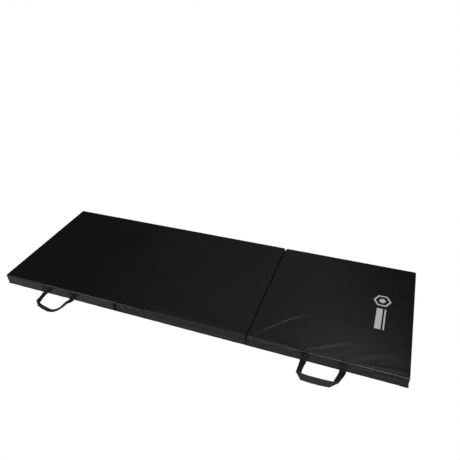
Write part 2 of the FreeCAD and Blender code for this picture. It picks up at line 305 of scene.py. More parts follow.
def woven(name, dark, light, pitch, strength, sheen, use_uv, sheen_grey=None):
    """Webbing or tape: warp ribs crossed by weft threads, with lint, and a paler painted sheen where
    a point attribute asks for it.
    """
    material, tree, bsdf = new_material(name)
    coords = node(tree, "TexCoord").outputs
    source, warp_axis = ("UV", 1) if use_uv else ("Object", 2)
    axes = node(tree, "SeparateXYZ", coords[source]).outputs
    rate = 2 * pi / (pitch * MM)

    def ribs(axis, frequency):
        return maths(tree, "SINE", maths(tree, "MULTIPLY_ADD", axes[axis], frequency, 0.0))

    threads = maths(tree, "MULTIPLY", ribs(warp_axis, rate), ribs(0, rate * 0.9))
    lint = noise(coords["Object"], Scale=260.0, Detail=5.0, Roughness=0.7)
    thread_share = 0.28           # of the threads against the lint
    weave = maths(tree, "MULTIPLY_ADD", threads, thread_share, lint)
    colour = ramp(weave, low=dark, high=(light, light, light * 0.98), start=0.2, end=0.85)
    # paler weave where the loop's point attribute is high: painted sheen on the handle's crossbar
    if sheen_grey is not None:
        rubbed_and_sheen = attribute(tree, "wear_and_sheen")
        pale = ramp(weave, low=sheen_grey * 0.5, high=(sheen_grey, sheen_grey, sheen_grey * 0.98), start=0.2, end=0.85)
        colour = node(tree, "MixRGB", rubbed_and_sheen, colour, pale).outputs[0]
    relief = bump(weave, Strength=strength, Distance=0.0005)
    feed(bsdf, Base_Color=colour, Roughness=0.75, Normal=relief,
         Sheen_Weight=sheen, Sheen_Roughness=0.4)
    return material


def speckled(name, dark, light, scale, rough, strength=0.3, depth=0.0006, wear_and_sheen=None):
    """Noise-broken colour, gloss and relief; wear is the colour of rubbed edges."""
    material, tree, bsdf = new_material(name)
    coords = node(tree, "TexCoord").outputs["Object"]
    specks = noise(coords, Scale=scale, Detail=6.0, Roughness=0.6)
    colour = ramp(specks, low=dark, high=light)
    if wear_and_sheen is not None:
        edge = node(tree, "NewGeometry").outputs["Pointiness"]
        rubbed_and_sheen = ramp(edge, low=0.0, high=1.0, start=0.52, end=0.62)
        colour = node(tree, "MixRGB", rubbed_and_sheen, colour, (*wear_and_sheen, 1)).outputs[0]
    gloss = ramp(specks, low=rough - 0.06, high=rough + 0.06)
    relief = bump(specks, Strength=strength, Distance=depth)
    feed(bsdf, Base_Color=colour, Roughness=gloss, Normal=relief)
    return material


VINYL = vinyl("vinyl_cover", dark=0.0055, light=0.0075, rough=0.33)
VINYL_DARK = vinyl("vinyl_underside", dark=0.006, light=0.009, rough=0.5, grain=0.2)
# Seam vinyl, darker and duller than the cover: painted shade for the shadow line under the bead's
# lip.
SEAM_PAINTED_SHADE = vinyl("vinyl_seam", dark=0.002, light=0.0035, rough=0.8, grain=0.3)
# The webbing's paler grey on the handles' crossbars is painted sheen.
WEBBING = woven("webbing", dark=0.003, light=0.009, pitch=1.6, strength=0.6, sheen=0.05,
                use_uv=True, sheen_grey=0.045)
TAPE = woven("zip_tape_weave", dark=0.012, light=0.026, pitch=0.9, strength=0.5, sheen=0.15,
             use_uv=False)
THREAD = speckled("thread", dark=(0.020, 0.020, 0.021), light=(0.045, 0.045, 0.046),
                  scale=900.0, rough=0.6)
FOAM = speckled("foam", dark=(0.10, 0.10, 0.105), light=(0.22, 0.22, 0.23),
                scale=420.0, rough=0.9, strength=0.8, depth=0.001)
INK = speckled("printed_ink", dark=(0.80, 0.80, 0.79), light=(0.90, 0.90, 0.89),
               scale=160.0, rough=0.5, strength=0.15, depth=0.0002)
COIL = speckled("coil_plastic", dark=(0.012, 0.012, 0.013), light=(0.030, 0.030, 0.032),
                scale=700.0, rough=0.38)
METAL = speckled("painted_zinc", dark=(0.020, 0.020, 0.022), light=(0.040, 0.040, 0.042),
                 scale=380.0, rough=0.33, wear_and_sheen=(0.30, 0.29, 0.27))

# ------------------------------------------------------------------ shape of the covers
# Radius of the rolled edges at a panel's end: along the top, and at the upright corners.
PLAIN, TIGHT = (4.2, 4.5), (2.8, 3.0)
ROLLS = {"left": (PLAIN, PLAIN), "middle": (PLAIN, TIGHT), "right": (TIGHT, PLAIN)}


def edge_radii(name, points):
    """Rolled-edge radius near each point, from whichever edges it is close to."""
    x, y, z = points.T
    if name == "left":
        front_roll = 6.2
    elif name == "middle":
        slack = ease((x + 190) / 120)
        front_roll = 3.6 + (8.0 + 2.3 * np.sin(x / 5.9) + 1.4 * np.sin(x / 13.0 + 1)) * slack
    else:
        slack = 1 - ease((x - 455) / 60)
        front_roll = 5.2 + 1.3 * ease((x - 740) / 90) + (9.5 + 1.2 * np.sin(x / 16.0)) * slack
    edges = [(np.hypot(y - FRONT, z - TOP), front_roll), (np.hypot(y - BACK, z - TOP), PLAIN[0])]
    for end, (top_roll, upright_roll) in zip(PANEL[name], ROLLS[name]):
        edges.append((np.hypot(x - end, z - TOP), top_roll))
        edges += [(np.hypot(x - end, y - side), upright_roll) for side in (FRONT, BACK)]
    weights = [1 / (distance * distance + 2.0) ** 2 for distance, _ in edges]
    return sum(w * roll for w, (_, roll) in zip(weights, edges)) / sum(weights)


def round_off(points, lo, hi, radius):
    """Points of the sharp box from lo to hi moved onto its rolled edges."""
    radius = np.reshape(radius, (-1, 1))
    core = np.clip(points, np.add(lo, radius), np.subtract(hi, radius))
    out = points - core
    length = np.linalg.norm(out, axis=1, keepdims=True)
    return core + out * np.where(length > 1e-9, radius / np.maximum(length, 1e-9), 1.0)


def rolled(name, points, radius):
    """Points of a panel's box, open below, moved onto its rolled edges."""
    lo, hi = PANEL[name]
    return round_off(points, (lo, FRONT, -1e6), (hi, BACK, TOP), radius)


TOP_WAVES = {"left": waves(3, 120, 320), "middle": waves(5, 90, 260), "right": waves(8, 80, 260)}
SIDE_WAVES = {"left": waves(13, 60, 220), "middle": waves(15, 45, 160), "right": waves(18, 45, 180)}
# Creases in the right panel's top: line in x and y, width at start and end,
# drop at start and end, reach over which the drop dies out on the far side.
CREASES = [
    ([(303, -306), (309, -299), (339, -261), (373, -226), (407, -191), (446, -150),
      (486, -125), (530, -104)], (4.0, 16.0), (1.5, 1.0), 60.0),
    ([(503, -303), (512, -295), (566, -272), (615, -244), (673, -212), (715, -190)],
     (5.0, 14.0), (1.0, 0.6), 34.0),
    ([(642, -309), (652, -303), (692, -284), (732, -263), (785, -240), (834, -220),
      (872, -206)], (8.0, 20.0), (1.5, 0.9), 30.0),
]


def right_top_drop(x, y):
    """What the creases and the slack front edge add to the right panel's drop."""
    front = y - FRONT
    drop = 0.0
    for line, widths, drops, reach in CREASES:
        run, offset, length = along_line(x, y, line)
        share = run / length
        width = np.interp(share, (0, 1), widths)
        deep = np.interp(share, (0, 1), drops) * (1 - ease((share - 0.72) / 0.28))
        deep = deep * ease(run / 9.0 + 0.3)
        # a dip to the right of the line and a low ridge to the left of it
        dip = ease(offset / width + 0.5) * decay(offset, reach)
        drop = drop + deep * (dip - 0.30 * bell(offset + 0.55 * width, 0.9 * width))
    # slack front edge beside the fold, then a ridge running back towards the far end
    drop = drop + 2.2 * decay(front, 30.0) * (1 - ease((x - 430) / 120))
    ridge = bell(front - 4 - np.maximum(x - 700, 0) * 0.11, 9.0)
    drop = drop - 0.75 * ridge * ease((x - 690) / 120) * ease((897 - x) / 30)
    # slight crown over the whole panel
    crown = (1 - ((x - 600) / 300) ** 2).clip(0) * (1 - (y / 300) ** 2).clip(0)
    return drop - 0.25 * crown


def top_drop(name, x, y):
    """How far the top sheet lies below the panel's full height."""
    lo, hi = PANEL[name]
    front, back = y - FRONT, BACK - y
    # the sheet runs on level across the left fold, so only the other ends sink
    ends = {"left": x - lo, "middle": hi - x, "right": np.minimum(x - lo, hi - x)}[name]
    calm = ease(np.abs(x + FOLD_X) / 45.0)
    drop = 0.22 + 0.20 * TOP_WAVES[name](x, y) * calm
    drop = drop + 0.7 * (decay(front, 16.0) + decay(back, 16.0)) + 0.5 * decay(ends, 14.0)
    if name == "right":
        return drop + right_top_drop(x, y)
    if name == "middle":
        drop = drop + 1.4 * decay(front, 24.0) * ease((x + 150) / 300)
    return np.maximum(drop, 0.02)


def side_out(name, along, z):
    """How far a side sheet stands out from its flat face."""
    lower = np.clip((TOP - z) / TOP, 0, 1)
    belly = np.sin(pi * np.clip((z - 2) / (TOP - 4), 0, 1))
    return (0.35 * SIDE_WAVES[name](along, z * 2.2) - 0.15) * belly * (0.6 + 0.4 * lower)


# Ridges in the middle panel's front side beside the left fold:
# start and end in x and z, height, half width.
PULLS = [
    ((-298, 48), (-272, 10), 3.4, 4.2),
    ((-260, 45), (-220, 6), 4.2, 4.6),
    ((-219, 48), (-180, 8), 4.2, 4.6),
    ((-177, 45), (-140, 8), 3.8, 4.4),
    ((-119, 44), (-76, 10), 2.6, 4.6),
]
# Waves in the right panel's front side beside the right fold: line in x and z, height, half width.
SLACK_WAVES = [
    ([(300, 34), (339, 28), (381, 41), (432, 53)], 3.6, 5.0),
    ([(329, 5), (360, 17), (401, 30), (446, 45)], -2.8, 4.6),
    ([(350, 6), (381, 13), (442, 31), (508, 50)], 4.2, 6.0),
    ([(448, 10), (482, 17), (516, 40)], 2.2, 4.0),
]


def front_pucker(name, x, z):
    """Folds in the sheet on the front side; positive stands out."""
    belly = np.sin(pi * np.clip((z - 1) / (TOP - 3), 0, 1)) ** 0.7
    out = np.zeros_like(x)
    if name == "middle":
        for start, end, height, width in PULLS:
            run, offset, length = along_line(x, z, [start, end])
            share = run / length
            fade = ease(share / 0.12) * (1 - ease((share - 0.8) / 0.2))
            ridge = bell(offset - 3.0, width) - 0.6 * bell(offset + 4.4, width * 1.1)
            out = out + height * fade * ridge
        # low wavy ridge at mid height on the right half
        out = out + 0.9 * bell(z - 26 - 5 * np.sin(x / 33.0), 9.0) * ease((x + 60) / 120)
    if name == "right":
        for line, height, width in SLACK_WAVES:
            run, offset, length = along_line(x, z, line)
            share = run / length
            fade = ease(share / 0.2) * (1 - ease((share - 0.85) / 0.15))
            out = out + height * fade * bell(offset, width)
        # ridge and hollow climbing towards the far end
        far = ease((x - 715) / 85) * ease((899 - x) / 30)
        rise = np.maximum(x - 775, 0) * 0.10
        out = out + far * (3.3 * bell(z - 12.5 - rise, 5.0) - 3.7 * bell(z - 27 - rise, 7.0))
    if name == "left":
        # swelling and hollow beside the fold
        out = out + 0.7 * bell(x + 330, 12.0) * bell(z - 26, 14.0) - 0.4 * bell(x + 352, 12.0)
    return out * belly


# Panel ends drawn back where a fold stands open: end (0 low, 1 high),
# shift and reach at the front, shift and reach at the back.
GAPES = {
    "left": [(1, 7.5, 26.0, 0.0, 9.0)],
    "middle": [(1, 0.9, 9.0, 2.0, 9.0), (0, 1.4, 26.0, 0.0, 10.0)],
    "right": [(0, 1.0, 9.0, 9.0, 10.0)],
}
GAPE_DEPTH = 26.0             # how far into the panel the shift is felt


def gape(name, points):
    """Shift along x near the ends of the folds."""
    x, y, _ = points.T
    shift = np.zeros(len(points))
    for end, front_shift, front_reach, back_shift, back_reach in GAPES[name]:
        wide = front_shift * decay(y - FRONT, front_reach) + back_shift * decay(BACK - y, back_reach)
        inward = -1 if end else 1
        inside = inward * (x - PANEL[name][end])
        shift += inward * wide * ease((GAPE_DEPTH - inside) / GAPE_DEPTH)
    return shift


def anchor_share(name, x):
    """1 under the handle's two sewn-on legs, where they hold the sheet flat, and 0 away."""
    share = np.zeros(len(x))
    if name in HANDLE_X:
        for side in (-1, 1):
            leg = HANDLE_X[name] + side * (HANDLE_HALF - STRAP / 2)
            share = np.maximum(share, 1 - ease((np.abs(x - leg) - 13.5) / 9.0))
    return share


def skin_point(name, points):
    """Where points of the panel's sharp box end up on the made-up cover."""
    lo, hi = PANEL[name]
    x, y, z = points.T
    radii = edge_radii(name, points)
    skin = rolled(name, points, radii)
    deep = 9 + 3.2 * np.maximum(radii - 5.2, 0)   # a slack edge sinks with the sheet beside it
    sinking = np.clip((skin[:, 2] - (TOP - deep)) / deep, 0, 1) ** 2
    skin[:, 2] -= top_drop(name, skin[:, 0], skin[:, 1]) * sinking
    below = ease((TOP - z) / 7.0) * ease((z - 1.0) / 4.0)
    off_ends = ease((skin[:, 0] - lo) / 6.0) * ease((hi - skin[:, 0]) / 6.0)
    on_front, on_back = y <= FRONT + TINY, y >= BACK - TINY
    between = ~on_front & ~on_back

    held = anchor_share(name, x)
    out = (side_out(name, x, z) + front_pucker(name, x, z)) * below * off_ends * (1 - held)
    out = out - 0.55 * held * ease((TOP - z) / 8) * ease((z - 1) / 3)
    skin[:, 1] -= np.where(on_front, out, 0)
    back_out = np.minimum(side_out(name, x + 900, z), 0.25) * below * off_ends * 0.5
    skin[:, 1] += np.where(on_back, back_out, 0)

    # the mat's outer ends bulge; the ends at the folds only sink in
    out = side_out(name, y * 1.1 + 400, z) * below * ease((BACK - np.abs(y)) / 8)
    for on_end, sign, outer in ((x <= lo + TINY, -1, "left"), (x >= hi - TINY, 1, "right")):
        end_out = out + 0.6 * below if name == outer else np.minimum(out, 0)
        skin[:, 0] += sign * np.where(on_end & between, end_out, 0)
    skin[:, 0] += gape(name, skin)
    return skin


def slackness(name, x, y, z):
    """How slack the sheet is, mostly along the front top edge; its gloss breaks up there."""
    if name == "left":
        return np.zeros(len(x))
    front = y - FRONT
    near = 1 - ease((np.hypot(front, z - TOP) - 20) / 22)
    if name == "middle":
        slack = ease((x + 190) / 120) * near
        low = 0.35 * (1 - ease((x + 150) / 70))
    else:
        taut = bell(along_line(x, y, CREASES[0][0])[1], 11.0) * ease((front - 4) / 8)
        slack = (1 - ease((x - 440) / 80)) * near * (1 - taut)
        low = 0.5 * ease((x - 725) / 80)
    # on the lower part of the front side
    low = low * (1 - ease((front - 3) / 6)) * (1 - ease((z - 35) / 9))
    return np.maximum(slack, low)


# ------------------------------------------------------------------ panels
def tray(xs, ys, zs, hole=None):
    """Grid over the top and four sides of a box, zs from the top down.

    hole(x pair, y pair, z pair) tells which side faces to leave out.
    """
    last_x, last_y = len(xs) - 1, len(ys) - 1
    points = [(x, y, zs[0]) for x in xs for y in ys]
    faces = grid_quads(len(xs), len(ys))
    ring = [(i, 0) for i in range(last_x)] + [(last_x, j) for j in range(last_y)]
    ring += [(i, last_y) for i in range(last_x, 0, -1)] + [(0, j) for j in range(last_y, 0, -1)]
    above = [i * len(ys) + j for i, j in ring]
    for z_above, z in zip(zs[:-1], zs[1:]):
        row = list(range(len(points), len(points) + len(ring)))
        points += [(xs[i], ys[j], z) for i, j in ring]
        for a, (i, j) in enumerate(ring):
            b = (a + 1) % len(ring)
            next_i, next_j = ring[b]
            if hole and hole((xs[i], xs[next_i]), (ys[j], ys[next_j]), (z, z_above)):
                continue
            faces.append((row[a], row[b], above[b], above[a]))
        above = row
    points, faces = np.array(points, float), np.array(faces)
    used = np.zeros(len(points), bool)
    used[faces.ravel()] = True
    index = np.cumsum(used) - 1
    return points[used], index[faces]


# Grid runs (start, end, spacing) of each cover, along x and along y.
FINE = {
    "left": (stations((-895, -330, 7.5), (-330, -301, 3.5)),
             stations((-300, -276, 3.0), (-276, 276, 9.0), (276, 300, 4.0))),
    "middle": (stations((-299, -110, 2.7), (-110, 290, 5.0), (290, 299, 2.5)),
               stations((-300, -270, 2.8), (-270, 276, 8.5), (276, 300, 4.0))),
    "right": (stations((301, 560, 2.9), (560, 900, 4.0)),
              stations((-300, -90, 2.9), (-90, 270, 8.0), (270, 300, 4.0))),
}
SEAM_Z = 2.2                  # the cover's lower edge
COVER_Z = np.array([
    *(TOP - d for d in edge_lines(PLAIN[1])), *np.linspace(TOP - 7.5, ZIP_Z[1], 5)[:-1],
    *np.linspace(ZIP_Z[1], ZIP_Z[0], 5), *np.linspace(16.4, 5.0, 5), 3.4, SEAM_Z])
FOLD_WALLS = {"left": ["fold_wall_left"], "middle": ["fold_wall_middle_l", "fold_wall_middle_r"],
              "right": ["fold_wall_right"]}


def zip_ends(name, half):
    middle = sum(PANEL[name]) / 2
    return [middle - half, middle + half]


def build_cover(name):
    """Top sheet and four sides, with the zip's opening in the back."""
    opening = zip_ends(name, ZIP_HALF)
    fine_x, fine_y = FINE[name]
    lines = sorted({*(v for v in fine_x if min(abs(v - w) for w in opening) > 1.2), *opening})
    (_, low_roll), (_, high_roll) = ROLLS[name]
    xs = across(*PANEL[name], low_roll, high_roll, lines)
    ys = across(FRONT, BACK, PLAIN[1], PLAIN[1], fine_y)

    def in_zip(x_pair, y_pair, z_pair):
        return (min(y_pair) > BACK - TINY
                and min(x_pair) > opening[0] - TINY and max(x_pair) < opening[1] + TINY
                and min(z_pair) > ZIP_Z[0] - TINY and max(z_pair) < ZIP_Z[1] + TINY)

    points, faces = tray(xs, ys, COVER_Z, in_zip)
    sheet = thicken(skin_point(name, points), faces, SKIN)
    cover = add_object("cover_" + name, *sheet, VINYL, "cover", sharp=55)
    paint(cover, "slack", lambda x, y, z: slackness(name, x, y, z))
    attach(cover, "panel_" + name)
    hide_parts("top_cover_" + name, "back_gusset_" + name, *FOLD_WALLS[name])


def build_underside(name):
    """Underside sheet, turned up to the seam."""
    lo, hi = PANEL[name]
    roll = 1.4
    xs = across(lo, hi, roll, roll, stations((lo, hi, 24)))
    ys = across(FRONT, BACK, roll, roll, stations((FRONT, BACK, 24)))
    turn_up = np.array([0.0, 0.35, 0.8, 1.4, 2.0])
    points, faces = tray(xs, ys, TOP - turn_up)
    points = rolled(name, points, roll)
    points[:, 2] = TOP - points[:, 2]
    x, y, _ = points.T
    ripple = 0.12 * (1 + TOP_WAVES[name](x * 1.3, y * 1.3))
    points[:, 2] += ripple * ease((BACK - np.abs(y)) / 30) * ease((x - lo) / 30) * ease((hi - x) / 30)
    sheet = thicken(points, faces[:, ::-1], SKIN)
    under = add_object("underside_" + name, *sheet, VINYL_DARK, "cover", sharp=50)
    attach(under, "panel_" + name)
    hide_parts("bottom_sheet_" + name)


def build_foam(name):
    """Foam block with softened edges, filling the cover."""
    inset, lid_drop = (6.8, 7.5) if name == "right" else (4.4, 5.0)
    roll, bottom, lid = 9.0, 2.4, TOP - lid_drop
    (x_lo, x_hi), (y_lo, y_hi) = PANEL[name], (FRONT + inset, BACK - 6)
    xs = across(x_lo + inset, x_hi - inset, roll, roll, stations((x_lo, x_hi, 30)))
    ys = across(y_lo, y_hi, roll, roll, stations((FRONT, BACK, 30)))
    lines = edge_lines(roll)
    zs = np.array([lid - d for d in lines] + [26.0, 18.0] + [bottom + d for d in lines][::-1])
    points, faces = tray(xs, ys, zs)
    low = len(points)
    points = np.concatenate([points, [(x, y, zs[-1]) for x in xs for y in ys]])
    points = round_off(points, (x_lo + inset, y_lo, bottom), (x_hi - inset, y_hi, lid), roll)
    points[:, 0] += gape(name, points)
    floor_faces = [(low + a, low + d, low + c, low + b)
                   for a, b, c, d in grid_quads(len(xs), len(ys))]
    # the bottom face takes the sides' lowest points as its rim
    first_at = {}
    same = [first_at.setdefault(tuple(p), k) for k, p in enumerate(np.round(points, 5))]
    faces = [tuple(same[i] for i in face) for face in [*faces, *floor_faces]]
    core = add_object("foam_block_" + name, points, faces, FOAM, "foam")
    core.data.validate()
    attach(core, "panel_" + name)
    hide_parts("foam_core_" + name)


for name in PANEL:
    build_cover(name)
    build_underside(name)
    build_foam(name)


# ------------------------------------------------------------------ sheets across the folds
def hinge_sheet(where, low_panel, high_panel, line, material):
    """Sheet over both panels' edges, across the fold line x = line."""
    flip = where == "bottom"
    half, roll = 13.0, 4.6
    offsets = [*np.linspace(-half, -2.2, 6), *np.linspace(-1.6, 1.6, 9), *np.linspace(2.2, half, 6)]
    front_roll = [(FRONT + roll - roll * sin(t), TOP - roll + roll * cos(t))
                  for t in map(radians, (58, 46, 34, 23, 11))]
    level = stations((FRONT + roll, -276, 5), (-276, 276, 12), (276, BACK - roll, 5))
    profile = front_roll + [(y, TOP) for y in level] + [(-y, z) for y, z in front_roll[::-1]]
    offset = np.repeat(offsets, len(profile))
    y, z = np.tile(profile, (len(offsets), 1)).T
    x = line + offset
    if flip:
        drop = 0.04
    else:
        drop = np.where(offset < 0, top_drop(low_panel, x, y), top_drop(high_panel, x, y))
    lift = 0.12                   # above the panels' sheets, lost again at the fold line
    z = np.minimum(z - (drop - lift + lift * bell(offset, 0.9)), TOP - 0.005)
    faces = np.array(grid_quads(len(offsets), len(profile)))
    if flip:
        z, faces = TOP - z, faces[:, ::-1]
    sheet = thicken(np.column_stack([x, y, z]), faces, 0.5)
    made = add_object("hinge_sheet_" + where, *sheet, material, "cover", sharp=60)
    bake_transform(made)
    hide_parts(*(f"hinge_web_{where}_{panel}" for panel in (low_panel, high_panel)))


hinge_sheet("top", "left", "middle", -FOLD_X, VINYL)
hinge_sheet("bottom", "middle", "right", FOLD_X, VINYL_DARK)


# ------------------------------------------------------------------ seam round each panel's foot
def outline(lo, hi, radius, spacing):
    """Rounded rectangle round a panel: x, y and the outward direction at each point."""
    arcs = []
    for x, y, start in ((hi - radius, FRONT + radius, -90), (hi - radius, BACK - radius, 0),
                        (lo + radius, BACK - radius, 90), (lo + radius, FRONT + radius, 180)):
        turns = [radians(start + t) for t in range(0, 91, 15)]
        arcs.append([(x + radius * cos(t), y + radius * sin(t), cos(t), sin(t)) for t in turns])
    path = []
    for arc, following in zip(arcs, arcs[1:] + arcs[:1]):
        path += arc
        x, y = arc[-1][:2]
        to_x, to_y, out_x, out_y = following[0]
        count = max(1, int(hypot(to_x - x, to_y - y) / spacing))
        path += [(x + (to_x - x) * k / count, y + (to_y - y) * k / count, out_x, out_y)
                 for k in range(1, count)]
    return path


SEAM_WAVE = waves(31, 40, 160)


def build_seam(name):
    """Low bead with a six-point section, standing out on the mat's outer sides, in vinyl darker than
    the cover: painted shade for the shadow line under its lip.
    """
    lo, hi = PANEL[name]
    points, faces = [], []
    path = outline(lo, hi, radius=1.6, spacing=6.0)
    for x, y, out_x, out_y in path:
        at_fold = (x - lo < 6 and name != "left") or (hi - x < 6 and name != "right")
        if abs(y) < BACK - 1 and at_fold:
            out, up = 0.25, 0.0
        else:
            out = 1.5 + 0.5 * SEAM_WAVE(x, y)
            up = 0.5 * SEAM_WAVE(x + 500, y)
        if name == "right":           # fuller at the front corner of the far end
            out += 1.2 * ease((x - 858) / 30) * ease((-y - 270) / 24)
        section = [(-0.7, 0.15), (out - 0.5, 0.35 + up * 0.2), (out, 1.2 + up * 0.5),
                   (out + 0.05, 2.4 + up * 0.6), (out - 0.45, 3.3 + up * 0.5), (-0.7, 3.9)]
        points += [(x + out_x * away, y + out_y * away, z) for away, z in section]
    sides = 6
    for i in range(len(path)):
        this, following = i * sides, (i + 1) % len(path) * sides
        for s in range(sides):
            t = (s + 1) % sides
            faces.append((this + s, following + s, following + t, this + t))
    seam = add_object("bottom_seam_" + name, points, faces, SEAM_PAINTED_SHADE, "cover", sharp=60)
    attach(seam, "panel_" + name)


for name in PANEL:
    build_seam(name)

# ------------------------------------------------------------------ stitches
THREAD_RADIUS = 0.3
# Along one stitch: share of its length, radius and rise as shares of the thread's radius.
STITCH = ((0.0, 0.12, -0.15), (0.16, 0.85, 0.0), (0.5, 1.0, 0.12), (0.84, 0.85, 0.0),
          (1.0, 0.12, -0.15))


def stitches(kind, panel, runs, outward, length, gap):
    """Short raised stitches along straight runs (start, end)."""
    points, faces = [], []
    outward = np.array(outward, float)
    for start, end in runs:
        start, end = np.array(start, float), np.array(end, float)
        total = np.linalg.norm(end - start)
        heading = (end - start) / total
        side = np.cross(outward, heading)
        count = max(1, int(round(total / (length + gap))))
        pitch = total / count
        for k in range(count):
            first = start + heading * (k * pitch + gap / 2)
            faces += tube(len(STITCH), 6, base=len(points))
            for share, radius, rise in STITCH:
                middle = first + heading * (share * (pitch - gap))
                for turn in map(radians, range(0, 360, 60)):
                    across_by = cos(turn) * THREAD_RADIUS * radius
                    out_by = sin(turn) * THREAD_RADIUS * radius + rise * THREAD_RADIUS * 2
                    points.append(middle + side * across_by + outward * out_by)
    made = add_object(f"{kind}_{panel}", points, faces, THREAD, "thread")
    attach(made, "panel_" + panel)
    return made


for name in PANEL:
    lo, hi = zip_ends(name, ZIP_HALF + 2.5)
    y, low, high = BACK + 0.02, ZIP_Z[0] - 1.8, ZIP_Z[1] + 1.8
    runs = [((lo, y, z), (hi, y, z)) for z in (low, high)]
    runs += [((x, y, low), (x, y, high)) for x in (lo, hi)]
    stitches("zip_stitching", name, runs, outward=(0, 1, 0), length=3.0, gap=1.4)

# ------------------------------------------------------------------ webbing
# Half of the webbing's section: share of the width, share of the half thickness.
SECTION = [(0.0, 0.30), (0.02, 0.72), (0.06, 1.0), (0.14, 0.90), (0.32, 0.86), (0.5, 0.88),
           (0.68, 0.86), (0.86, 0.90), (0.94, 1.0), (0.98, 0.72), (1.0, 0.30)]
ROOT_OUT = -312.0             # y where the loop takes over from the sewn-on end
FLAT = 1.15                   # height of webbing lying on the floor, at mid thickness
OVER = FLAT + 1.75            # height of a second layer on top of it


def ribbon(name, rows):
    """Webbing from rows (edge point 1, edge point 2, face normal, run at edge 1, at edge 2)."""
    points, uv = [], []
    for edge_1, edge_2, normal, run_1, run_2 in rows:
        edge_1, edge_2, normal = (np.array(a, float) for a in (edge_1, edge_2, normal))
        normal = normal / np.linalg.norm(normal)
        for section, side, uv_shift in ((SECTION, 1, 0), (SECTION[::-1], -1, 40)):
            for share, high in section:
                out = normal * side * high * STRAP_THICK / 2
                points.append(edge_1 + (edge_2 - edge_1) * share + out)
                uv.append((run_1 + (run_2 - run_1) * share, share * STRAP + uv_shift))
    faces = tube(len(rows), 2 * len(SECTION))
    return add_object(name, points, faces, WEBBING, "webbing", uv=uv, sharp=70)


def root_path():
    """Sewn-on end from the side: (y, z, face normal, run), down the mat, then along the floor."""
    side_y, radius = FRONT - 0.78, 3.2
    path = [(side_y, z) for z in stations((38.0, 7.0, 3.5))]
    path += [(side_y - radius + radius * cos(t), FLAT + radius - radius * sin(t))
             for t in map(radians, range(0, 91, 15))]
    path += [(y, FLAT) for y in (-305.6, -308.0, -310.0, ROOT_OUT)]
    out, run = [], 0.0
    for i, (y, z) in enumerate(path):
        before, after = path[max(0, i - 1)], path[min(len(path) - 1, i + 1)]
        heading_y, heading_z = after[0] - before[0], after[1] - before[1]
        if i:
            run += hypot(y - before[0], z - before[1])
        bulge = 0.12 * sin(z * 0.5) if z > 8 else 0.0
        out.append((y - bulge, z, (0.0, heading_z, -heading_y), run))
    return out


ROOT = root_path()
ROOT_RUN = ROOT[-1][3]


def smooth_path(stops, spacing=3.0):
    """Catmull-Rom curve through the stops, in steps of about the spacing in plan."""
    stops = np.array(stops, float)
    stops = np.concatenate([[2 * stops[0] - stops[1]], stops, [2 * stops[-1] - stops[-2]]])
    out = []
    for a, b, c, d in zip(stops[:-3], stops[1:], stops[2:], stops[3:]):
        count = max(2, int(np.hypot(*(c - b)[:2]) / spacing))
        for t in np.arange(count) / count:
            out.append(0.5 * ((2 * b) + (c - a) * t + (2 * a - 5 * b + 4 * c - d) * t * t
                              + (3 * b - 3 * c + d - a) * t ** 3))
    out.append(stops[-2])
    return np.array(out)


def partway(path, share):
    """Point at a share of a path's length, and the run up to it."""
    runs = np.concatenate([[0], np.cumsum(np.linalg.norm(np.diff(path, axis=0), axis=1))])
    run = share * runs[-1]
    return np.array([np.interp(run, runs, path[:, i]) for i in range(3)]), run


def follow(rows, stops_1, stops_2, up, count):
    """Adds rows along two edge curves that start at the last row; up is the side they face."""
    edge_1, edge_2 = smooth_path(stops_1), smooth_path(stops_2)
    run_1, run_2 = rows[-1][3:]
    for share in np.linspace(0, 1, count + 1)[1:]:
        point_1, gone_1 = partway(edge_1, share)
        point_2, gone_2 = partway(edge_2, share)
        before, after = max(0, share - 0.02), min(1, share + 0.02)
        heading = sum(partway(edge, after)[0] - partway(edge, before)[0]
                      for edge in (edge_1, edge_2))
        normal = np.cross(heading, point_2 - point_1)
        normal = normal * (1 if normal[2] * up > 0 else -1)
        rows.append((point_1, point_2, normal, run_1 + gone_1, run_2 + gone_2))


def fold_over(rows, away, z_to, face):
    """Half turn about the last row onto the other layer. face is 1 if it arrives face up."""
    edges = [np.array(edge, float) for edge in rows[-1][:2]]
    runs = rows[-1][3:]
    away = np.array([*away, 0.0]) / hypot(*away)
    radius = abs(0.5 * (0.5 * (edges[0][2] + edges[1][2]) + z_to) - FLAT)
    outer_face = face if z_to > edges[0][2] else -face
    for t in map(radians, range(20, 181, 20)):
        ends = [edge + away * radius * sin(t)
                + np.array([0, 0, (z_to - edge[2]) / 2 * (1 - cos(t))]) for edge in edges]
        normal = np.array([0, 0, face * cos(t)]) - away * sin(t) * outer_face
        rows.append((*ends, normal, *(run + radius * t for run in runs)))


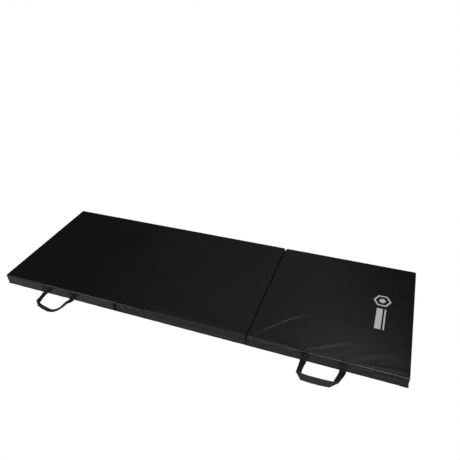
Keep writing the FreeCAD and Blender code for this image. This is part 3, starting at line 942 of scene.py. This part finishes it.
def right_loop():
    """Loop lying nearly flat, folded over at both corners, crossbar on top."""
    leg = HANDLE_X["right"] + HANDLE_HALF
    rows = [((leg, ROOT_OUT, FLAT), (leg - STRAP, ROOT_OUT, FLAT), (0, 0, 1), ROOT_RUN, ROOT_RUN)]
    # right leg, outer edge then inner edge
    follow(rows,
           [(688, -312, FLAT), (684, -326, 1.6), (678, -341, 1.9), (671, -358, FLAT)],
           [(663, -312, FLAT), (659, -331, 2.6), (654, -350, 3.4), (648, -371, 2.2),
            (640, -390, FLAT)],
           up=1, count=18)
    fold_over(rows, away=(1, -1), z_to=OVER, face=1)
    # crossbar, edge nearer the mat then far edge
    follow(rows,
           [(671, -358, OVER), (652, -362, 5.4), (622, -366, 7.6), (591, -367, 8.0),
            (560, -366.5, 7.4), (534, -363, 5.6), (515, -360, OVER)],
           [(640, -390, OVER), (618, -392.5, 2.6), (597, -393.5, 2.6), (568, -393.5, 2.6),
            (541, -392, OVER)],
           up=-1, count=30)
    fold_over(rows, away=(-1, -1), z_to=FLAT, face=-1)
    # left leg, outer edge then inner edge
    follow(rows,
           [(515, -360, FLAT), (515, -343, 1.2), (516, -328, 1.2), (516, -312, FLAT)],
           [(541, -392, FLAT), (536.5, -372, 3.6), (536.5, -350, 9.5), (538.5, -330, 7.0),
            (541, -312, FLAT)],
           up=1, count=20)
    return rows


LEFT_FOLD = (-651.0, -387.0)  # where the left handle's crossbar and leg meet on the outside
# Inner edge of its right leg and crossbar: x, y, height, lean of the webbing in degrees.
LEFT_INNER = [
    (-545, ROOT_OUT, FLAT, 0), (-550.5, -324, 1.0, 8), (-552, -340, 0.9, 17),
    (-551.8, -355, 0.9, 22), (-555.5, -365, 0.9, 20), (-561, -373, 0.9, 16),
    (-569, -380, 0.9, 15), (-580, -383, 0.9, 18), (-596, -381.5, 0.9, 21),
    (-609, -379, 0.9, 21), (-622, -376.5, 1.0, 18), (-638, -373, 1.4, 11),
    (-660, -366, 2.0, 4), (-685.5, -357.5, OVER, 0),
]


def left_loop():
    """Loop whose right leg and corner stand partly on edge; the left corner is folded over."""
    inner = smooth_path(LEFT_INNER, spacing=2.6)
    heading = np.gradient(inner[:, :2], axis=0)
    heading = heading / np.linalg.norm(heading, axis=1)[:, None]
    fold = np.array([*LEFT_FOLD, OVER])
    rows, run_1, run_2, stop = [], ROOT_RUN, ROOT_RUN, None
    for i, ((x, y, z, lean), (along_x, along_y)) in enumerate(zip(inner, heading)):
        turned = min(1.0, i / 5.0)    # the first rows start out parallel to the mat's side
        wide = np.array([-along_y, along_x, 0.0]) * turned + np.array([1.0, 0, 0]) * (1 - turned)
        wide = wide / np.linalg.norm(wide)
        tilt = radians(lean)
        edge_2 = np.array([x, y, z])
        edge_1 = edge_2 + STRAP * (wide * cos(tilt) + np.array([0, 0, sin(tilt)]))
        if x < -612 and stop is None:
            stop = (i, edge_1)
        if stop:                      # the outer edge stops short, on the 45 degree fold
            share = (i - stop[0]) / (len(inner) - 1 - stop[0])
            edge_1 = stop[1] * (1 - share) + fold * share
        if rows:
            run_1 += np.linalg.norm(edge_1 - rows[-1][0])
            run_2 += np.linalg.norm(edge_2 - rows[-1][1])
        normal = np.array([0, 0, cos(tilt)]) - wide * sin(tilt)
        rows.append((edge_1, edge_2, normal, run_1, run_2))
    fold_over(rows, away=(-1, -1), z_to=FLAT, face=1)
    # left leg, inner edge then outer edge
    leg = HANDLE_X["left"] - HANDLE_HALF
    follow(rows,
           [(*LEFT_FOLD, FLAT), (-659.5, -360, 1.8), (-663, -342, 2.4), (-665.5, -326, 2.2),
            (leg + STRAP, ROOT_OUT, FLAT)],
           [(-685.5, -357.5, FLAT), (-686.5, -342, 1.3), (-688, -326, 1.6), (leg, ROOT_OUT, FLAT)],
           up=-1, count=20)
    return rows


def fix_outward(made):
    """Turns all faces outward."""
    work = bmesh.new()
    work.from_mesh(made.data)
    bmesh.ops.recalc_face_normals(work, faces=work.faces)
    work.to_mesh(made.data)
    work.free()


def build_handle_ends(name, legs):
    """Both sewn-on ends of a handle as one object; legs are (outer x, inner x)."""
    parts = []
    for outer, inner in legs:
        rows = [((outer, y, z), (inner, y, z), normal, run, run) for y, z, normal, run in ROOT]
        parts.append(ribbon("tmp", rows))
    bpy.ops.object.select_all(action="DESELECT")
    for part in parts:
        part.select_set(True)
    bpy.context.view_layer.objects.active = parts[0]
    bpy.ops.object.join()
    ends = parts[0]
    ends.name = ends.data.name = "handle_ends_" + name
    fix_outward(ends)
    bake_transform(ends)
    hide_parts("handle_anchors_" + name)


def build_handle_loop(name, rows, rubbed_and_sheen):
    """The loose loop; the last argument sets how much of the paler painted sheen its crossbar gets.
    """
    loop = ribbon("handle_loop_" + name, rows)
    fix_outward(loop)
    # painted sheen: the crossbar, out beyond y = -352, takes the paler webbing colour
    paint(loop, "wear_and_sheen", lambda x, y, z: ease((-352.0 - y) / 16.0) * rubbed_and_sheen)
    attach(loop, "handle_" + name)
    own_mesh(loop)
    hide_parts("handle_strap_" + name)


def build_box_stitching(name, legs):
    """A crossed box of stitches on each sewn-on end."""
    runs = []
    y, low, high, margin = FRONT - 1.52, 13.0, 34.5, 3.4
    for leg in legs:
        lo, hi = min(leg) + margin, max(leg) - margin
        box = [(lo, y, low), (hi, y, low), (hi, y, high), (lo, y, high)]
        runs += [(box[i], box[(i + 1) % 4]) for i in range(4)]
        runs += [(box[0], box[2]), (box[1], box[3])]
    made = stitches("box_stitching", name, runs, outward=(0, -1, 0), length=2.4, gap=0.9)
    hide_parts("anchor_stitches_" + name)


# last number: share of painted sheen on each handle's crossbar
for name, rows, rubbed_and_sheen in (("left", left_loop(), 0.25), ("right", right_loop(), 1.0)):
    legs = [(HANDLE_X[name] + side * HANDLE_HALF, HANDLE_X[name] + side * (HANDLE_HALF - STRAP))
            for side in (1, -1)]
    build_handle_ends(name, legs)
    build_handle_loop(name, rows, rubbed_and_sheen)
    build_box_stitching(name, legs)


# ------------------------------------------------------------------ printed mark
def hex_ring(x, y, inner, outer):
    """Hexagonal ring in plan, ten points to a side; the radii reach its corners."""
    points, faces = [], []
    for k in range(60):
        corner, part = divmod(k, 10)
        for radius in (inner, outer):
            start, end = (np.array([x + radius * cos(t), y + radius * sin(t)])
                          for t in (radians(60 * corner), radians(60 * (corner + 1))))
            points.append(start + (end - start) * (part / 10))
        a, b = 2 * k, 2 * ((k + 1) % 60)
        faces.append((a, a + 1, b + 1, b))
    return points, faces


def bar(x_lo, x_hi, y_lo, y_hi):
    xs, ys = stations((x_lo, x_hi, 5.0)), stations((y_lo, y_hi, 5.0))
    return [(x, y) for x in xs for y in ys], grid_quads(len(xs), len(ys))


def build_print():
    """Thin ink layer that follows the right panel's top sheet."""
    x, hex_y = 776.0, 64.0
    pieces = [hex_ring(x, hex_y, 28.0, 36.0), hex_ring(x, hex_y, 0.6, 14.0),
              bar(x - 18, x + 6, -100, 16), bar(x + 13, x + 19, -100, 16)]
    plan, faces = [], []
    for piece_points, piece_faces in pieces:
        faces += [tuple(i + len(plan) for i in face) for face in piece_faces]
        plan += piece_points
    plan = np.array(plan, float)
    heights = TOP - top_drop("right", *plan.T) + 0.14
    ink = thicken(np.column_stack([plan, heights]), faces, 0.2)
    motif = add_object("printed_motif", *ink, INK, "print", sharp=50)
    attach(motif, "panel_right")
    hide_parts("printed_mark")


build_print()

# ------------------------------------------------------------------ zips from the CAD
ZIP_MATERIALS = (("zip_tapes", TAPE), ("zip_coils", COIL), ("zip_", METAL))   # first match wins
for name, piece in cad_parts.items():
    for prefix, material in ZIP_MATERIALS:
        if name.startswith(prefix):
            piece.data.materials.clear()
            piece.data.materials.append(material)
            break


# ------------------------------------------------------------------ floor and world
def camera_sees(tree, others, camera):
    """One shader for camera rays and another for all other rays."""
    rays = node(tree, "LightPath").outputs["Is Camera Ray"]
    return node(tree, "MixShader", rays, others.outputs[0], camera.outputs[0]).outputs[0]


def build_floor():
    """Matt pale floor that the camera sees as pure white."""
    material, tree, bsdf = new_material("studio_floor")
    clouds = node(tree, "TexNoise", Scale=3.0, Detail=2.0).outputs["Fac"]
    feed(bsdf, Base_Color=ramp(clouds, low=0.80, high=0.83), Roughness=0.9, Specular_IOR_Level=0.0)
    bright = node(tree, "Emission", Strength=1.0)
    plug(tree.nodes["Material Output"].inputs[0], camera_sees(tree, bsdf, bright))
    bpy.ops.mesh.primitive_plane_add(size=40, location=(0, 0, -0.0006))
    floor = bpy.context.object
    floor.name = "studio_floor"
    floor.data.materials.append(material)


def build_world():
    """Dim white surroundings that the camera sees as pure white."""
    world = bpy.data.worlds.new("studio")
    bpy.context.scene.world = world
    world.use_nodes = True
    tree = world.node_tree
    tree.nodes.clear()
    room = node(tree, "Background", Color=(1, 1, 1, 1), Strength=0.037)
    white = node(tree, "Background", Color=(1, 1, 1, 1), Strength=1.0)
    node(tree, "OutputWorld", camera_sees(tree, room, white))


build_floor()
build_world()

# ------------------------------------------------------------------ lights
# Weak softboxes over the back of the mat, two much stronger ones in front of it:
# name, degrees round from +Y towards +X, height in degrees, side in metres, power in watts.
SOFTBOXES = [
    ("back_1", -25, 36, 1.1, 0.37), ("back_2", 0, 36, 1.1, 0.76),
    ("back_3", -50, 50, 1.1, 0.43), ("back_4", -25, 50, 1.1, 0.55),
    ("back_5", 0, 60, 0.9, 0.74), ("back_6", 25, 60, 0.9, 5.40),
    ("front_7", -135, 35, 0.9, 24.00), ("front_8", 165, 40, 0.9, 52.00),
]
LIGHT_AIM = Vector((0, 0, 0.05))
LIGHT_DISTANCE = 3.4          # metres

for name, turn, height, size, power in SOFTBOXES:
    turn, height = radians(turn), radians(height)
    away = Vector((sin(turn) * cos(height), cos(turn) * cos(height), sin(height)))
    light = bpy.data.lights.new(name, "AREA")
    light.shape = "RECTANGLE"
    light.size = light.size_y = size
    light.energy = power
    box = bpy.data.objects.new(name, light)
    bpy.context.scene.collection.objects.link(box)
    box.location = LIGHT_AIM + LIGHT_DISTANCE * away
    box.rotation_mode = "QUATERNION"
    box.rotation_quaternion = (-away).to_track_quat("-Z", "Y")

# ------------------------------------------------------------------ camera
AZIMUTH = radians(22.481)     # round from -Y towards +X
ELEVATION = radians(34.261)
ROLL = radians(-2.948)
CAMERA_PLACE = (111.768, 220.466, 2051.672)   # along the camera's right, up and back axes
MAT_CENTRE = Vector((0, 0, 0.025))            # metres, where CAMERA_PLACE is measured from

scene = bpy.context.scene
scene.view_settings.view_transform = "Standard"
scene.view_settings.look = "None"
back = Vector((sin(AZIMUTH) * cos(ELEVATION), -cos(AZIMUTH) * cos(ELEVATION), sin(ELEVATION)))
level_right = Vector((cos(AZIMUTH), sin(AZIMUTH), 0))
level_up = back.cross(level_right)
right = level_right * cos(ROLL) + level_up * sin(ROLL)
up = level_up * cos(ROLL) - level_right * sin(ROLL)
axes = (right, up, back)
place = sum((axis * by for axis, by in zip(axes, CAMERA_PLACE)), Vector()) * MM + MAT_CENTRE
lens = bpy.data.cameras.new("camera")
lens.sensor_width = 36.0
lens.lens = 34.64123478
lens.clip_end = 60.0
camera = bpy.data.objects.new("camera", lens)
scene.collection.objects.link(camera)
camera.matrix_world = Matrix([[*(axis[i] for axis in axes), place[i]] for i in range(3)]
                             + [[0, 0, 0, 1]])
scene.camera = camera
